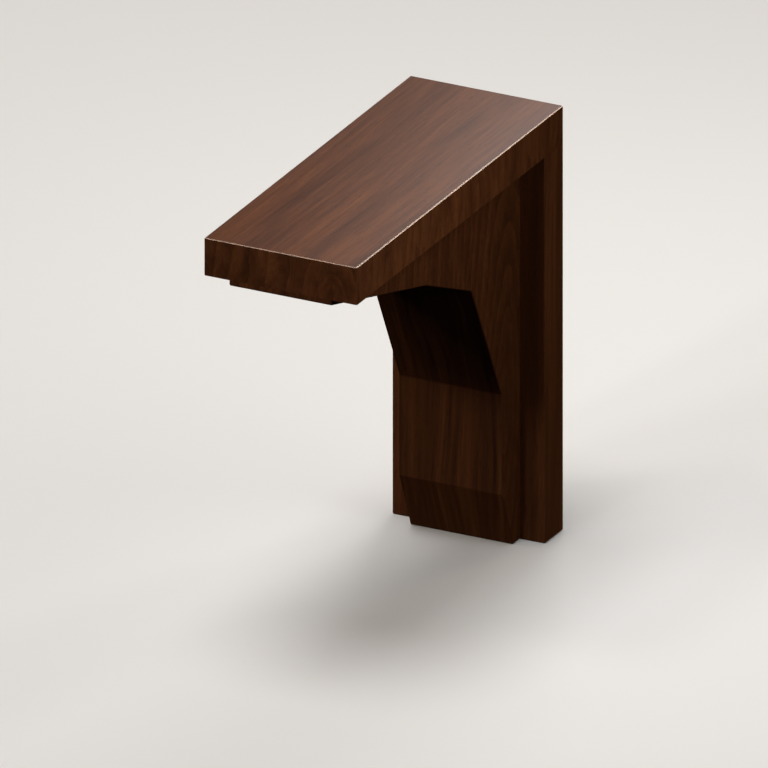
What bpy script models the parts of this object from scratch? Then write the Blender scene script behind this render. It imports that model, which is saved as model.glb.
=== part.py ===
"""Countertop bracket of walnut: a top board under the counter, a back board against the wall and a
shaped brace glued into the corner between them.

Metres, +Z up. The wall is the plane Y = 0 and the bracket reaches out from it along -Y, so +Y is the way
into the wall. X runs across the width. The origin is the middle of the back, on the wall.
"""

import math

import bmesh
import bpy

# Boards
REACH = 0.305  # wall to front edge
HEIGHT = 0.305  # top face to foot
WIDTH = 0.113  # of both boards
TOP_THICK = 0.027
BACK_THICK = 0.027

# Brace. Its reaches are counted out from the back board and its drops down from the top board.
BRACE_REVEAL = 0.0185  # how far it is set in from both edges of the boards
NOSE_DROP = 0.0038  # front end
SHOULDER_REACH = 0.1383  # where the shallow slope ends
SHOULDER_DROP = 0.0431
THROAT_REACH = 0.0713  # inner corner, where the steep slope starts
THROAT_DROP = 0.0730
LEG_REACH = 0.0270  # straight leg, which the steep slope ends on in a lip
LIP_HEIGHT = 0.1140  # lip, above the bottom
TOE_REACH = 0.0105  # what the toe's chamfer leaves at the bottom
TOE_HEIGHT = 0.0417  # where the chamfer starts, above the bottom

# Making
GLUE_GAP = 0.0003  # between faces that are glued together
EDGE_EASE = 0.0008  # width that sanding takes off an edge
EASE_STEPS = 2
SAME_PLACE = 1e-5

# Planes that the pieces share
TOP = HEIGHT / 2
BOTTOM = -HEIGHT / 2
UNDERSIDE = TOP - TOP_THICK
GLUE_TOP = UNDERSIDE - GLUE_GAP
GLUE_BACK = BACK_THICK + GLUE_GAP
BRACE_WIDTH = WIDTH - 2 * BRACE_REVEAL

# Colours, linear
WALNUT_TOP = (0.105, 0.046, 0.024)
WALNUT_BACK = (0.066, 0.026, 0.012)
WALNUT_BRACE = (0.080, 0.033, 0.016)


def clear_scene():
    for obj in list(bpy.data.objects):
        bpy.data.objects.remove(obj, do_unlink=True)


def bracket_collection():
    collection = bpy.data.collections.new("countertop_bracket")
    bpy.context.scene.collection.children.link(collection)
    return collection


def walnut(name, color):
    """Walnut under a satin clear finish."""
    material = bpy.data.materials.new(name)
    material.use_nodes = True
    shader = material.node_tree.nodes["Principled BSDF"]
    shader.inputs["Base Color"].default_value = (*color, 1.0)
    shader.inputs["Roughness"].default_value = 0.38
    shader.inputs["Metallic"].default_value = 0.0
    material.diffuse_color = (*color, 1.0)
    return material


def ease_edges(obj, in_joint):
    """Rounds the sharp edges, apart from those that in_joint says, by their middle, lie in a glue joint."""
    mesh = obj.data
    weights = mesh.attributes.new("bevel_weight_edge", "FLOAT", "EDGE")
    for edge in mesh.edges:
        start, end = (mesh.vertices[index].co for index in edge.vertices)
        middle = obj.location + (start + end) / 2
        weights.data[edge.index].value = 0.0 if in_joint(middle) else 1.0
    ease = obj.modifiers.new("eased edges", "BEVEL")
    ease.limit_method = "WEIGHT"
    ease.width = EDGE_EASE
    ease.segments = EASE_STEPS


def make_board(name, size, middle, material, collection):
    bpy.ops.mesh.primitive_cube_add(size=1.0, location=middle)
    board = bpy.context.object
    board.name = board.data.name = name
    board.scale = size
    bpy.ops.object.transform_apply(location=False, rotation=False, scale=True)
    board.data.materials.append(material)
    for other in board.users_collection:
        other.objects.unlink(board)
    collection.objects.link(board)
    return board


def make_top_board(collection):
    """Covers the end of the back board. Its lower edges stay crisp, where the other two pieces meet it flush."""
    size = (WIDTH, REACH, TOP_THICK)
    middle = (0.0, -REACH / 2, TOP - TOP_THICK / 2)
    board = make_board("top_board", size, middle, walnut("walnut_top", WALNUT_TOP), collection)
    ease_edges(board, lambda point: abs(point.z - UNDERSIDE) < SAME_PLACE)


def make_back_board(collection):
    """Stands against the wall, with its upper end glued under the top board."""
    length = GLUE_TOP - BOTTOM
    size = (WIDTH, BACK_THICK, length)
    middle = (0.0, -BACK_THICK / 2, BOTTOM + length / 2)
    board = make_board("back_board", size, middle, walnut("walnut_back", WALNUT_BACK), collection)
    ease_edges(board, lambda point: abs(point.z - GLUE_TOP) < SAME_PLACE)


def brace_outline():
    """The brace from the side, as (distance from the wall, height) round from its inner corner."""
    return [
        (GLUE_BACK, GLUE_TOP),
        (REACH, GLUE_TOP),
        (REACH, UNDERSIDE - NOSE_DROP),
        (BACK_THICK + SHOULDER_REACH, UNDERSIDE - SHOULDER_DROP),
        (BACK_THICK + THROAT_REACH, UNDERSIDE - THROAT_DROP),
        (BACK_THICK + LEG_REACH, BOTTOM + LIP_HEIGHT),
        (BACK_THICK + LEG_REACH, BOTTOM + TOE_HEIGHT),
        (BACK_THICK + TOE_REACH, BOTTOM),
        (GLUE_BACK, BOTTOM),
    ]


def brace_drawing():
    """The flat outline, as thick as the brace is wide, turned upright with its front towards -Y."""
    curve = bpy.data.curves.new("brace_outline", "CURVE")
    curve.dimensions = "2D"
    curve.fill_mode = "BOTH"
    curve.extrude = BRACE_WIDTH / 2
    outline = brace_outline()
    spline = curve.splines.new("POLY")
    spline.points.add(len(outline) - 1)
    for point, (distance, height) in zip(spline.points, outline):
        point.co = (distance, height, 0.0, 1.0)
    spline.use_cyclic_u = True
    drawing = bpy.data.objects.new("brace_drawing", curve)
    drawing.rotation_euler = (math.pi / 2, 0.0, -math.pi / 2)
    return drawing


def make_brace(collection):
    drawing = brace_drawing()
    collection.objects.link(drawing)
    graph = bpy.context.evaluated_depsgraph_get()
    mesh = bpy.data.meshes.new_from_object(drawing.evaluated_get(graph))
    mesh.name = "brace"
    mesh.transform(drawing.matrix_world)
    bpy.data.objects.remove(drawing, do_unlink=True)

    # The caps come loose and cut into triangles, so they are joined on and made flat faces again.
    shape = bmesh.new()
    shape.from_mesh(mesh)
    bmesh.ops.remove_doubles(shape, verts=shape.verts, dist=SAME_PLACE)
    bmesh.ops.dissolve_limit(shape, angle_limit=math.radians(1), verts=shape.verts, edges=shape.edges)
    bmesh.ops.recalc_face_normals(shape, faces=shape.faces)
    shape.to_mesh(mesh)
    shape.free()

    mesh.materials.append(walnut("walnut_brace", WALNUT_BRACE))
    brace = bpy.data.objects.new("brace", mesh)
    collection.objects.link(brace)
    ease_edges(
        brace,
        lambda point: abs(point.z - GLUE_TOP) < SAME_PLACE or abs(point.y + GLUE_BACK) < SAME_PLACE,
    )


def main():
    clear_scene()
    collection = bracket_collection()
    make_top_board(collection)
    make_back_board(collection)
    make_brace(collection)


main()
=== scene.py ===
"""Looks of the countertop bracket: walnut boards and brace under a satin clear finish.

Metres, +Z up. The wall is the plane Y = 0 and the bracket reaches out from it along -Y.
"""

import math

import bmesh
import bpy
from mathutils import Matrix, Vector


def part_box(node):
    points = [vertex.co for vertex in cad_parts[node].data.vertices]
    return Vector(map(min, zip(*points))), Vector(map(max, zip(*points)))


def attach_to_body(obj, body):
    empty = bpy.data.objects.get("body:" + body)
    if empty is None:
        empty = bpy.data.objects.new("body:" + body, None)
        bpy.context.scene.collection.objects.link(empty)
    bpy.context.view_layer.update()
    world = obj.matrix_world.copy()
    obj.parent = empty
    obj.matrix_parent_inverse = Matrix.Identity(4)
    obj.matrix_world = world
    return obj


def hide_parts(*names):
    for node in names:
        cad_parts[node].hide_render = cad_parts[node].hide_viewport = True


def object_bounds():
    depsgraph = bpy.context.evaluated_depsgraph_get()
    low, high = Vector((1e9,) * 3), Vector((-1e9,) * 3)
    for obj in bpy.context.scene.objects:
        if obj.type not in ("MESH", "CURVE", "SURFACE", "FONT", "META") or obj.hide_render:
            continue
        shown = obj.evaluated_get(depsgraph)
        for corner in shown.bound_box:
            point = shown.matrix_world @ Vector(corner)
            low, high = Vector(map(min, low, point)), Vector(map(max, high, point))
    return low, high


bl_info = {
    "name": "Countertop Bracket",
    "version": (1, 0, 0),
    "blender": (4, 5, 0),
    "location": "View3D > Sidebar > Bracket",
    "description": "Builds a walnut countertop bracket, its finish, its floor and its studio light",
    "category": "Object",
}

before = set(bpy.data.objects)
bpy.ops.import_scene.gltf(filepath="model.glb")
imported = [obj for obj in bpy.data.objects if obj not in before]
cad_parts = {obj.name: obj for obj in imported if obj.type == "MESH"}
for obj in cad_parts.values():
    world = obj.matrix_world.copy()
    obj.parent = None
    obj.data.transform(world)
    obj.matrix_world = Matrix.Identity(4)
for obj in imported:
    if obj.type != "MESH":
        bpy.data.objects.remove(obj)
CAD_LOW, CAD_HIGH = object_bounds()
TOP_LOW, TOP_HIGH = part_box("top_board")
BACK_LOW, BACK_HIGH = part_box("back_board")
BRACE_LOW, BRACE_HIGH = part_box("brace")

MM = 0.001
SAME_PLACE = 1e-5
# Glued faces almost touch, so that only a fine line shows between two pieces.
JOINT_LINE = 0.05 * MM
UNDERSIDE = TOP_LOW.z - JOINT_LINE
BACK_BOARD_FRONT = BACK_LOW.y - JOINT_LINE

# The photograph's camera: parallel, with the near top corner at this pixel of a picture 768 across.
PICTURE_WIDTH = 768
CORNER_PIXEL = (356.9, 267.8)
PIXELS_PER_METRE = 1513.4
CAMERA_AZIMUTH = 26.574
CAMERA_ELEVATION = 23.178
CAMERA_DISTANCE = 2.0

# A Wave Texture at scale 1 repeats after this length.
WAVE_PERIOD = math.pi / 10

# Which way the grain runs, as turns about the wood's own X, Y and Z.
UPRIGHT = (math.radians(1.5), math.radians(-2.0), 0.0)
FRONT_TO_BACK = (math.radians(90), 0.0, 0.0)
# Leaning into a front, where the rings come out as arches.
ARCHED = (math.radians(-16), math.radians(-2), 0.0)
# Leaning into a side, where the rings come out as long upright flames.
FLAMED = (math.radians(1.5), math.radians(13), 0.0)

# How strongly the rings, bands, streaks and fibres show, where a piece gives no other figure.
PLAIN_FIGURE = (0.10, 0.60, 0.42, 0.22)
# Lengths along the grain, in millimetres.
BAND_LENGTH = 900
STREAK_LENGTH = 130
FIBRE_LENGTH = 45
PORE_LENGTH = 8
# The tones at which the wood reaches its dark and its light colour, with its middle colour at 0.5.
DARK_TONE = 0.15
LIGHT_TONE = 0.85
# Noise opens into a pore between these values.
PORE_EDGE = 0.64
PORE_MIDDLE = 0.74
PORE_STRENGTH = 0.35
# Streaks change the lacquer's roughness by this much.
STREAK_ROUGHNESS = 0.08
RELIEF_STRENGTH = 0.2
RELIEF_DEPTH = 0.05 * MM

EASE_STEPS = 4
# Nearly flat, as a sanding block leaves an edge. Half is round.
EASE_PROFILE = 0.3
# A face looks along an axis if its normal has more than this of it.
FACING = 0.9
# The toe's chamfer looks down by more than this.
SLANTED = 0.2


def linear(hex_color):
    """An sRGB colour such as "#6B4A36" as linear red, green, blue and 1."""
    parts = (int(hex_color[place : place + 2], 16) / 255 for place in (1, 3, 5))
    return (*(p / 12.92 if p <= 0.04045 else ((p + 0.055) / 1.055) ** 2.4 for p in parts), 1.0)


WHITE = linear("#FFFFFF")
WARM = linear("#FFE6CC")


def add_node(tree, kind, inputs=None, **settings):
    """Adds a node. inputs gives its sockets a value, or another node's output to be linked to."""
    node = tree.nodes.new(kind)
    for name, value in settings.items():
        setattr(node, name, value)
    for key, value in (inputs or {}).items():
        if isinstance(value, bpy.types.NodeSocket):
            tree.links.new(value, node.inputs[key])
        else:
            node.inputs[key].default_value = value
    return node


def color_prop(name, description, default):
    return bpy.props.FloatVectorProperty(
        name=name, description=description, subtype="COLOR", size=4, min=0, max=1, default=linear(default)
    )


def length_prop(name, description, default):
    return bpy.props.FloatProperty(
        name=name,
        description=description,
        default=default,
        min=0,
        precision=4,
        subtype="DISTANCE",
        unit="LENGTH",
    )


def number_prop(name, description, default):
    return bpy.props.FloatProperty(name=name, description=description, default=default, min=0)


class BRACKET_PG_shape(bpy.types.PropertyGroup):
    edge_ease: length_prop("Edge ease", "Width that sanding takes off each edge", 0.8 * MM)
    nose_drop: length_prop("Nose drop", "Brace's front end, below the top board", 3.8 * MM)
    shoulder_reach: length_prop("Shoulder reach", "Shallow slope's end, out from the back board", 138.3 * MM)
    shoulder_drop: length_prop("Shoulder drop", "Shallow slope's end, below the top board", 43.1 * MM)
    throat_reach: length_prop("Throat reach", "Steep slope's start, out from the back board", 71.3 * MM)
    throat_drop: length_prop("Throat drop", "Steep slope's start, below the top board", 73.0 * MM)
    leg_reach: length_prop("Leg reach", "Straight leg, out from the back board", 27.0 * MM)
    lip_height: length_prop("Lip height", "Top of the straight leg, above the bottom", 114.0 * MM)
    toe_reach: length_prop("Toe reach", "Bottom of the toe, out from the back board", 10.5 * MM)
    toe_height: length_prop("Toe height", "Start of the toe's chamfer, above the bottom", 41.7 * MM)


class BRACKET_PG_finish(bpy.types.PropertyGroup):
    dark: color_prop("Dark grain", "Late wood and the darkest streaks", "#3A1C0B")
    middle: color_prop("Heartwood", "Colour that covers most of the wood", "#5E3317")
    light: color_prop("Light grain", "Early wood between the streaks", "#7C4824")
    pore: color_prop("Pores", "Open pores, filled with finish", "#241007")
    roughness: number_prop("Roughness", "Satin lacquer on the faces: lower is glossier", 0.42)
    rubbed: number_prop("Rubbed edges", "Roughness of the lacquer on the eased edges", 0.15)
    ring_width: length_prop("Ring width", "One year's growth", 7 * MM)
    band_width: length_prop("Band width", "Broad light and dark bands", 12 * MM)
    streak_width: length_prop("Streak width", "Streaks along the grain", 3.0 * MM)
    fibre_width: length_prop("Fibre width", "Fine lines along the grain", 0.9 * MM)
    pore_width: length_prop("Pore width", "Pores, coarser than the real 0.2 mm so that they show", 0.55 * MM)


class BRACKET_PG_stage(bpy.types.PropertyGroup):
    floor: color_prop("Floor", "Plain pale floor", "#E6E4E1")
    key: number_prop("Key light", "Soft light from the front left", 0.28)
    front: number_prop("Front light", "Soft light from the front", 0.26)
    overhead: number_prop("Overhead light", "Broad light from above", 1.80)
    right: number_prop("Right light", "Broad light from the right", 0.34)
    glint_left: number_prop("Left glint", "Small warm light that glints along the front edge", 0.29)
    glint_back: number_prop("Back glint", "Small warm light that glints along the right edge", 0.27)
    side: number_prop("Side panel", "Panel close to the right, in watts", 0.21)
    rim: number_prop("Rim panel", "Panel behind and above, which the top reflects, in watts", 1.90)
    fill: number_prop("Room light", "Even light from all round", 0.012)


def grain_noise(tree, place, across, along, detail):
    """Noise that is drawn out along the grain, with both sizes in millimetres."""
    per_size = (1 / across, 1 / across, 1 / along)
    stretched = add_node(tree, "ShaderNodeVectorMath", {0: place, 1: per_size}, operation="MULTIPLY")
    return add_node(
        tree, "ShaderNodeTexNoise", {"Vector": stretched.outputs[0], "Scale": 1.0, "Detail": detail}
    )


def strayed_place(tree, turn, pith, stray):
    """A point's place in the tree in millimetres, with Z along the grain, after the fibres' wandering."""
    coordinates = add_node(tree, "ShaderNodeTexCoord")
    per_mm = (1 / MM, 1 / MM, 1 / MM)
    wood = add_node(
        tree,
        "ShaderNodeMapping",
        {"Vector": coordinates.outputs["Object"], "Location": pith, "Rotation": turn, "Scale": per_mm},
    ).outputs[0]

    stray_by, stray_over = stray
    drift = grain_noise(tree, wood, 0.35 * stray_over, stray_over, 1.0).outputs[1]
    centred = add_node(tree, "ShaderNodeVectorMath", {0: drift, 1: (0.5, 0.5, 0.5)}, operation="SUBTRACT")
    return add_node(
        tree,
        "ShaderNodeVectorMath",
        {0: centred.outputs[0], 1: (2 * stray_by, 2 * stray_by, 0), 2: wood},
        operation="MULTIPLY_ADD",
    ).outputs[0]


def walnut(name, turn, pith, stray, shade=0.5, runs=(1, 1), figure=PLAIN_FIGURE, rubbed=False):
    """Black walnut, planed and sanded, under a satin clear lacquer.

    Walnut is chocolate brown with a grain of darker late wood, broad bands of colour and fine open pores.
    The lacquer gives a soft sheen that grows at a low angle, and is rubbed glossier on the eased edges.
    The pattern is solid, with its own Z along the grain. turn lays it in the piece, and pith moves it, in
    millimetres, away from the tree's middle. stray is how far the fibres wander and over what length, in
    millimetres. shade goes from dark wood at 0 to light at 1. runs draws the figure out across the grain,
    along the pattern's X and Y, as in wood that is sawn that way. figure is how strongly the rings, bands,
    streaks and fibres show.
    """
    finish = bpy.context.scene.bracket_finish
    material = bpy.data.materials.new(name)
    material.use_nodes = True
    tree = material.node_tree
    tree.nodes.clear()

    bent = strayed_place(tree, turn, pith, stray)
    sawn = add_node(
        tree, "ShaderNodeVectorMath", {0: bent, 1: (1 / runs[0], 1 / runs[1], 1)}, operation="MULTIPLY"
    ).outputs[0]

    rings = add_node(
        tree,
        "ShaderNodeTexWave",
        {"Vector": sawn, "Scale": WAVE_PERIOD / (finish.ring_width / MM)},
        wave_type="RINGS",
        rings_direction="Z",
        wave_profile="SAW",
    ).outputs[1]
    bands = grain_noise(tree, sawn, finish.band_width / MM, BAND_LENGTH, 1.0).outputs[0]
    streaks = grain_noise(tree, sawn, finish.streak_width / MM, STREAK_LENGTH, 2.0).outputs[0]
    fibres = grain_noise(tree, sawn, finish.fibre_width / MM, FIBRE_LENGTH, 1.0).outputs[0]

    # How much each pattern moves the wood's tone to either side of its shade.
    tone = shade
    for pattern, share in zip((rings, bands, streaks, fibres), figure):
        offset = add_node(tree, "ShaderNodeMath", {0: pattern, 1: 0.5}, operation="SUBTRACT").outputs[0]
        tone = add_node(
            tree, "ShaderNodeMath", {0: offset, 1: share, 2: tone}, operation="MULTIPLY_ADD"
        ).outputs[0]
    ramp = add_node(tree, "ShaderNodeValToRGB", {0: tone})
    ramp.color_ramp.elements[0].position = DARK_TONE
    ramp.color_ramp.elements[0].color = finish.dark
    ramp.color_ramp.elements[1].position = LIGHT_TONE
    ramp.color_ramp.elements[1].color = finish.light
    ramp.color_ramp.elements.new(0.5).color = finish.middle

    pores = grain_noise(tree, bent, finish.pore_width / MM, PORE_LENGTH, 0.0).outputs[0]
    open_pore = add_node(
        tree, "ShaderNodeMapRange", {"Value": pores, "From Min": PORE_EDGE, "From Max": PORE_MIDDLE}
    ).outputs[0]
    pore_share = add_node(
        tree, "ShaderNodeMath", {0: open_pore, 1: PORE_STRENGTH}, operation="MULTIPLY"
    ).outputs[0]
    color = add_node(
        tree, "ShaderNodeMix", {0: pore_share, 6: ramp.outputs[0], 7: finish.pore}, data_type="RGBA"
    ).outputs[2]

    roughness = add_node(
        tree,
        "ShaderNodeMath",
        {0: streaks, 1: STREAK_ROUGHNESS, 2: finish.roughness - STREAK_ROUGHNESS / 2},
        operation="MULTIPLY_ADD",
    ).outputs[0]
    relief = add_node(
        tree, "ShaderNodeMath", {0: open_pore, 1: -1.0, 2: fibres}, operation="MULTIPLY_ADD"
    ).outputs[0]
    bump = add_node(
        tree, "ShaderNodeBump", {"Height": relief, "Strength": RELIEF_STRENGTH, "Distance": RELIEF_DEPTH}
    ).outputs[0]

    shader = add_node(
        tree,
        "ShaderNodeBsdfPrincipled",
        {
            "Base Color": color,
            "Roughness": roughness,
            "Normal": bump,
            "IOR": 1.5,
            "Coat Weight": 1.0 if rubbed else 0.0,
            "Coat Roughness": finish.rubbed,
        },
    )
    add_node(tree, "ShaderNodeOutputMaterial", {"Surface": shader.outputs[0]})
    return material


def finished_mesh(obj):
    """A plain mesh object with obj's modifiers applied. obj is removed."""
    name = obj.name
    graph = bpy.context.evaluated_depsgraph_get()
    mesh = bpy.data.meshes.new_from_object(obj.evaluated_get(graph), depsgraph=graph)
    bpy.data.objects.remove(obj, do_unlink=True)
    result = bpy.data.objects.new(name, mesh)
    mesh.name = name
    bpy.context.scene.collection.objects.link(result)
    return result


def ease_edges(obj, in_joint, rubbed):
    """Rounds obj's sharp edges and gives them the material rubbed.

    Edges stay crisp where in_joint says, by their middle, that they lie in a glue joint.
    """
    mesh = obj.data
    mesh.materials.append(rubbed)
    mesh.shade_smooth()
    weights = mesh.attributes.new("bevel_weight_edge", "FLOAT", "EDGE")
    for edge in mesh.edges:
        start, end = (mesh.vertices[index].co for index in edge.vertices)
        edge.use_edge_sharp = in_joint((start + end) / 2)
        weights.data[edge.index].value = 0.0 if edge.use_edge_sharp else 1.0
    ease = obj.modifiers.new("eased edges", "BEVEL")
    ease.limit_method = "WEIGHT"
    ease.width = bpy.context.scene.bracket_shape.edge_ease
    ease.segments = EASE_STEPS
    ease.profile = EASE_PROFILE
    ease.harden_normals = True
    ease.material = len(mesh.materials) - 1
    return finished_mesh(obj)


def box_object(name, low, high):
    """A box whose place is in its mesh."""
    shape = bmesh.new()
    bmesh.ops.create_cube(shape, size=1.0)
    for vertex in shape.verts:
        vertex.co = Vector(low[axis] if vertex.co[axis] < 0 else high[axis] for axis in range(3))
    mesh = bpy.data.meshes.new(name)
    shape.to_mesh(mesh)
    shape.free()
    obj = bpy.data.objects.new(name, mesh)
    bpy.context.scene.collection.objects.link(obj)
    return obj


def attach(piece, node):
    """The finished piece rides on the bracket and stands for its solid."""
    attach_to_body(piece, "root")
    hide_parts(node)


class BRACKET_OT_boards(bpy.types.Operator):
    """Makes the top board and the back board"""

    bl_idname = "bracket.boards"
    bl_label = "Make Boards"

    def execute(self, context):
        make_top_board()
        make_back_board()
        return {"FINISHED"}


def make_top_board():
    """Its grain runs front to back on the top, and upright round the sides, as in the photograph."""
    top = box_object("walnut_top_board", TOP_LOW, TOP_HIGH)
    upright = {"turn": UPRIGHT, "pith": (60, 40, 0), "stray": (5, 60), "shade": 0.6}
    top.data.materials.append(walnut("walnut upright grain, top board", **upright))
    top.data.materials.append(
        walnut(
            "walnut front to back grain",
            turn=FRONT_TO_BACK,
            pith=(30, 240, 0),
            stray=(4, 300),
            runs=(1.7, 1.7),
            figure=(0.05, 0.62, 0.34, 0.5),
        )
    )
    top.data.materials.append(
        walnut(
            "walnut arched grain, board front",
            turn=ARCHED,
            pith=(-30, 264, 1500),
            stray=(8, 50),
            shade=0.57,
            runs=(1.8, 1.3),
            figure=(0.22, 0.65, 0.6, 0.4),
        )
    )
    top.data.materials.append(
        walnut(
            "walnut curled grain, board sides",
            turn=FLAMED,
            pith=(-73, 187, 700),
            stray=(7, 50),
            shade=0.6,
            runs=(1.4, 1.4),
            figure=(0.15, 0.6, 0.5, 0.3),
        )
    )
    back_slot, level_slot, front_slot, side_slot = range(4)
    for face in top.data.polygons:
        if abs(face.normal.x) > FACING:
            face.material_index = side_slot
        elif abs(face.normal.z) > FACING:
            face.material_index = level_slot
        elif face.normal.y < -FACING:
            face.material_index = front_slot
        else:
            face.material_index = back_slot
    rubbed = walnut("walnut rubbed edges, top board", **upright, rubbed=True)
    top = ease_edges(top, lambda point: abs(point.z - TOP_LOW.z) < SAME_PLACE, rubbed)
    attach(top, "top_board")


def make_back_board():
    back = box_object("walnut_back_board", BACK_LOW, Vector((BACK_HIGH.x, BACK_HIGH.y, UNDERSIDE)))
    upright = {"turn": UPRIGHT, "pith": (-30, 120, 0), "stray": (5, 250), "shade": 0.55}
    back.data.materials.append(walnut("walnut upright grain, back board", **upright))
    rubbed = walnut("walnut rubbed edges, back board", **upright, rubbed=True)
    back = ease_edges(back, lambda point: abs(point.z - UNDERSIDE) < SAME_PLACE, rubbed)
    attach(back, "back_board")


class BRACKET_OT_brace(bpy.types.Operator):
    """Makes the shaped brace in the corner between the boards"""

    bl_idname = "bracket.brace"
    bl_label = "Make Brace"

    def execute(self, context):
        shape = context.scene.bracket_shape
        upright = {"turn": UPRIGHT, "pith": (45, 120, 0), "stray": (6, 120), "runs": (1, 15)}
        striped = (0.10, 0.75, 0.75, 0.35)
        sides = walnut(
            "walnut flamed grain, brace sides",
            turn=FLAMED,
            pith=(-26.5, 49, 0),
            stray=(5, 90),
            figure=(0.2, 0.35, 0.45, 0.3),
        )
        brace = brace_drawing(shape)
        stand_up(brace, BRACE_HIGH.x - BRACE_LOW.x, sides)
        brace = finished_mesh(brace)
        # The slots are put in afresh, because the nodes leave an empty one before their own.
        brace.data.materials.clear()
        brace.data.materials.append(sides)
        brace.data.materials.append(
            walnut("walnut upright grain, brace front", **upright, shade=0.46, figure=striped)
        )
        # Painted light: the toe's chamfer gets a lighter shade of the leg's wood, standing in for light that
        # the lamps leave off this downward-facing face.
        brace.data.materials.append(
            walnut("walnut upright grain, brace toe", **upright, shade=0.6, figure=striped)
        )
        side_slot, front_slot, toe_slot = range(3)
        toe_top = BRACE_LOW.z + shape.toe_height
        for face in brace.data.polygons:
            if abs(face.normal.x) > FACING:
                face.material_index = side_slot
            # The downward toe chamfer takes the lightened copy of the leg's wood, a painted lightening of
            # its shade.
            elif face.center.z < toe_top and -FACING < face.normal.z < -SLANTED:
                face.material_index = toe_slot
            else:
                face.material_index = front_slot
        rubbed = walnut("walnut rubbed edges, brace", **upright, rubbed=True)
        brace = ease_edges(brace, in_brace_joint, rubbed)
        attach(brace, "brace")
        return {"FINISHED"}


def in_brace_joint(point):
    """Whether a point lies where the brace is glued to a board."""
    return abs(point.z - UNDERSIDE) < SAME_PLACE or abs(point.y - BACK_BOARD_FRONT) < SAME_PLACE


def brace_drawing(shape):
    """The brace from the side as a closed line, drawn flat: X is out from the wall and Y is height."""
    back_front = -BACK_LOW.y
    bottom = BRACE_LOW.z
    outline = [
        (-BACK_BOARD_FRONT, UNDERSIDE),
        (-BRACE_LOW.y, UNDERSIDE),
        (-BRACE_LOW.y, TOP_LOW.z - shape.nose_drop),
        (back_front + shape.shoulder_reach, TOP_LOW.z - shape.shoulder_drop),
        (back_front + shape.throat_reach, TOP_LOW.z - shape.throat_drop),
        (back_front + shape.leg_reach, bottom + shape.lip_height),
        (back_front + shape.leg_reach, bottom + shape.toe_height),
        (back_front + shape.toe_reach, bottom),
        (-BACK_BOARD_FRONT, bottom),
    ]
    count = len(outline)
    mesh = bpy.data.meshes.new("walnut_brace")
    lines = [(index, (index + 1) % count) for index in range(count)]
    mesh.from_pydata([(out, height, 0.0) for out, height in outline], lines, [])
    drawing = bpy.data.objects.new("walnut_brace", mesh)
    bpy.context.scene.collection.objects.link(drawing)
    return drawing


def stand_up(drawing, width, material):
    """Geometry Nodes that fill the drawn line, give it the brace's width and turn it upright."""
    tree = bpy.data.node_groups.new("extruded outline", "GeometryNodeTree")
    tree.is_modifier = True
    for label, kind in (("Outline", "Geometry"), ("Width", "Float"), ("Finish", "Material")):
        tree.interface.new_socket(label, in_out="INPUT", socket_type=f"NodeSocket{kind}")
    tree.interface.new_socket("Brace", in_out="OUTPUT", socket_type="NodeSocketGeometry")

    given = add_node(tree, "NodeGroupInput").outputs
    curve = add_node(tree, "GeometryNodeMeshToCurve", {"Mesh": given["Outline"]}).outputs[0]
    face = add_node(tree, "GeometryNodeFillCurve", {"Curve": curve}, mode="NGONS").outputs[0]
    across = add_node(tree, "ShaderNodeCombineXYZ", {"Z": given["Width"]}).outputs[0]
    block = add_node(
        tree,
        "GeometryNodeExtrudeMesh",
        {"Mesh": face, "Offset": across, "Offset Scale": 1.0, "Individual": False},
        mode="FACES",
    ).outputs["Mesh"]
    under = add_node(tree, "GeometryNodeFlipFaces", {"Mesh": face}).outputs[0]
    both = add_node(tree, "GeometryNodeJoinGeometry", {0: block})
    tree.links.new(under, both.inputs[0])
    closed = add_node(
        tree, "GeometryNodeMergeByDistance", {"Geometry": both.outputs[0], "Distance": SAME_PLACE}
    ).outputs[0]
    half = add_node(tree, "ShaderNodeMath", {0: given["Width"], 1: 0.5}, operation="MULTIPLY").outputs[0]
    centre = add_node(tree, "ShaderNodeCombineXYZ", {"X": half}).outputs[0]
    upright = add_node(
        tree,
        "GeometryNodeTransform",
        {"Geometry": closed, "Translation": centre, "Rotation": (math.pi / 2, 0.0, -math.pi / 2)},
    ).outputs[0]
    real = add_node(tree, "GeometryNodeRealizeInstances", {"Geometry": upright}).outputs[0]
    painted = add_node(
        tree, "GeometryNodeSetMaterial", {"Geometry": real, "Material": given["Finish"]}
    ).outputs[0]
    add_node(tree, "NodeGroupOutput", {"Brace": painted})

    modifier = drawing.modifiers.new("extruded outline", "NODES")
    modifier.node_group = tree
    for item in tree.interface.items_tree:
        if item.name == "Width":
            modifier[item.identifier] = width
        elif item.name == "Finish":
            modifier[item.identifier] = material


class BRACKET_OT_stage(bpy.types.Operator):
    """Makes the pale floor, the studio light and the camera"""

    bl_idname = "bracket.stage"
    bl_label = "Make Stage"

    def execute(self, context):
        stage = context.scene.bracket_stage
        make_floor(stage)
        make_room_light(stage)
        make_sun("key light", stage.key, azimuth=-24, elevation=37, softness=10)
        make_sun("front light", stage.front, azimuth=-9, elevation=33, softness=5)
        make_sun("overhead light", stage.overhead, azimuth=-30, elevation=81, softness=30)
        make_sun("right light", stage.right, azimuth=85, elevation=40, softness=40)
        make_sun("left glint", stage.glint_left, azimuth=-46, elevation=55, softness=10, color=WARM)
        make_sun("back glint", stage.glint_back, azimuth=155, elevation=24, softness=10, color=WARM)
        middle = (CAD_LOW + CAD_HIGH) / 2
        beside = middle + towards(80, 38) * 0.4
        make_panel("side panel", stage.side, place=beside, aim=middle, size=0.2)
        behind = CAD_HIGH + Vector((-0.16, 0.52, 0.47))
        top_back = CAD_HIGH + Vector((-0.03, -0.12, 0))
        make_panel("rim panel", stage.rim, place=behind, aim=top_back, size=0.24)
        make_camera()
        return {"FINISHED"}


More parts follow.
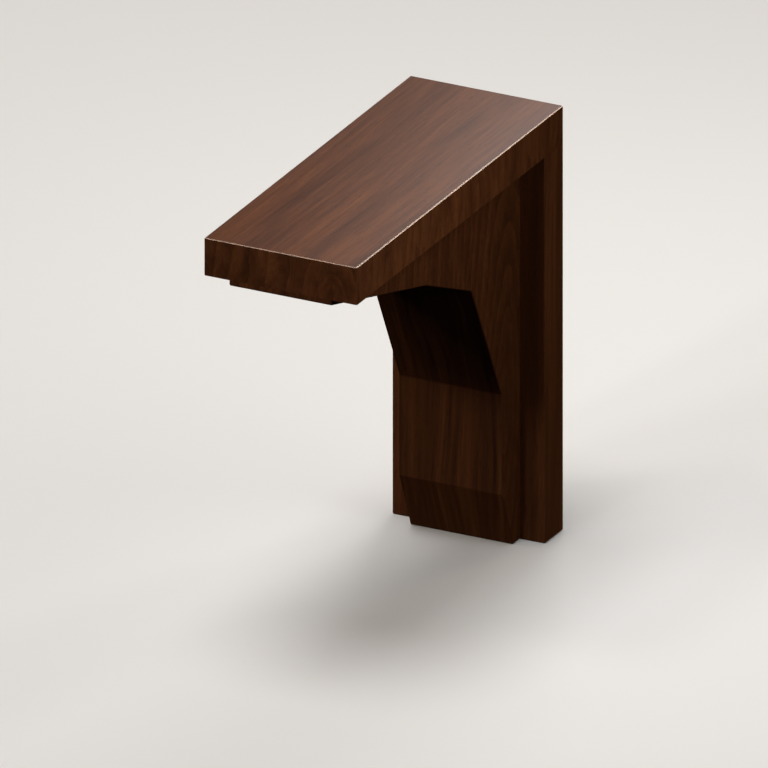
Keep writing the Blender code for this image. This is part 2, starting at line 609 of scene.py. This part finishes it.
def towards(azimuth, elevation):
    """The way to look from the bracket, with 0 straight out from the wall and 90 to the right."""
    turn, lift = math.radians(azimuth), math.radians(elevation)
    return Vector((math.sin(turn) * math.cos(lift), -math.cos(turn) * math.cos(lift), math.sin(lift)))


def make_floor(stage):
    reach = 12.0
    thickness = 0.02
    low = (-reach, -reach, CAD_LOW.z - thickness)
    floor = box_object("floor", low, (reach, reach, CAD_LOW.z))
    material = bpy.data.materials.new("matt painted floor")
    material.use_nodes = True
    shader = material.node_tree.nodes["Principled BSDF"]
    shader.inputs["Base Color"].default_value = stage.floor
    shader.inputs["Roughness"].default_value = 0.9
    shader.inputs["Specular IOR Level"].default_value = 0.1
    floor.data.materials.append(material)
    # The floor is seen and takes shadows, and doesn't throw its own light up under the dark wood.
    floor.visible_diffuse = False
    floor.visible_glossy = False


def make_room_light(stage):
    """A pale background for the camera, and a dim even light for the wood."""
    world = bpy.data.worlds.new("studio")
    bpy.context.scene.world = world
    world.use_nodes = True
    tree = world.node_tree
    tree.nodes.clear()
    seen_strength = 0.8
    rays = add_node(tree, "ShaderNodeLightPath")
    seen = add_node(tree, "ShaderNodeBackground", {"Color": stage.floor, "Strength": seen_strength})
    light = add_node(tree, "ShaderNodeBackground", {"Color": WHITE, "Strength": stage.fill})
    mixed = add_node(
        tree,
        "ShaderNodeMixShader",
        {0: rays.outputs["Is Camera Ray"], 1: light.outputs[0], 2: seen.outputs[0]},
    )
    add_node(tree, "ShaderNodeOutputWorld", {"Surface": mixed.outputs[0]})
    world.cycles_visibility.glossy = False


def place_light(name, light, place, aim):
    lamp = bpy.data.objects.new(name, light)
    lamp.location = place
    lamp.rotation_euler = (place - aim).to_track_quat("Z", "Y").to_euler()
    lamp.visible_camera = False
    bpy.context.scene.collection.objects.link(lamp)


def make_sun(name, strength, azimuth, elevation, softness, color=WHITE):
    light = bpy.data.lights.new(name, "SUN")
    light.color = color[:3]
    light.energy = strength
    light.angle = math.radians(softness)
    place_light(name, light, towards(azimuth, elevation), Vector())


def make_panel(name, watts, place, aim, size):
    light = bpy.data.lights.new(name, "AREA")
    light.energy = watts
    light.shape = "SQUARE"
    light.size = size
    place_light(name, light, place, aim)


def make_camera():
    back = towards(CAMERA_AZIMUTH, CAMERA_ELEVATION)
    turn = (-back).to_track_quat("-Z", "Y")
    right = turn @ Vector((1, 0, 0))
    up = turn @ Vector((0, 1, 0))
    corner = Vector((CAD_HIGH.x, CAD_LOW.y, CAD_HIGH.z))
    middle = PICTURE_WIDTH / 2
    centre = (
        corner
        + right * ((middle - CORNER_PIXEL[0]) / PIXELS_PER_METRE)
        + up * ((CORNER_PIXEL[1] - middle) / PIXELS_PER_METRE)
    )
    data = bpy.data.cameras.new("photo view")
    data.type = "ORTHO"
    data.ortho_scale = PICTURE_WIDTH / PIXELS_PER_METRE
    camera = bpy.data.objects.new("photo view", data)
    camera.location = centre + back * CAMERA_DISTANCE
    camera.rotation_euler = turn.to_euler()
    bpy.context.scene.collection.objects.link(camera)
    bpy.context.scene.camera = camera


class BRACKET_PT_panel(bpy.types.Panel):
    bl_idname = "BRACKET_PT_panel"
    bl_label = "Countertop Bracket"
    bl_space_type = "VIEW_3D"
    bl_region_type = "UI"
    bl_category = "Bracket"

    def draw(self, context):
        layout = self.layout
        for title, group, operator_names in PANEL_ROWS:
            box = layout.box()
            box.label(text=title)
            settings = getattr(context.scene, group)
            for name in settings.__annotations__:
                box.prop(settings, name)
            for operator_name in operator_names:
                box.operator(operator_name)


PANEL_ROWS = (
    ("Shape", "bracket_shape", ("bracket.boards", "bracket.brace")),
    ("Finish", "bracket_finish", ()),
    ("Stage", "bracket_stage", ("bracket.stage",)),
)
GROUPS = {
    "bracket_shape": BRACKET_PG_shape,
    "bracket_finish": BRACKET_PG_finish,
    "bracket_stage": BRACKET_PG_stage,
}
CLASSES = (*GROUPS.values(), BRACKET_OT_boards, BRACKET_OT_brace, BRACKET_OT_stage, BRACKET_PT_panel)


def register():
    for item in CLASSES:
        bpy.utils.register_class(item)
    for name, group in GROUPS.items():
        setattr(bpy.types.Scene, name, bpy.props.PointerProperty(type=group))


def unregister():
    for name in GROUPS:
        delattr(bpy.types.Scene, name)
    for item in reversed(CLASSES):
        bpy.utils.unregister_class(item)


def clear_startup_objects():
    """Removes Blender's own cube, light and camera."""
    for name in ("Cube", "Light", "Camera"):
        if name in bpy.data.objects:
            bpy.data.objects.remove(bpy.data.objects[name], do_unlink=True)


def main():
    clear_startup_objects()
    register()
    bpy.context.scene.view_settings.view_transform = "Standard"
    bpy.ops.bracket.stage()
    bpy.ops.bracket.boards()
    bpy.ops.bracket.brace()


if __name__ == "__main__":
    main()
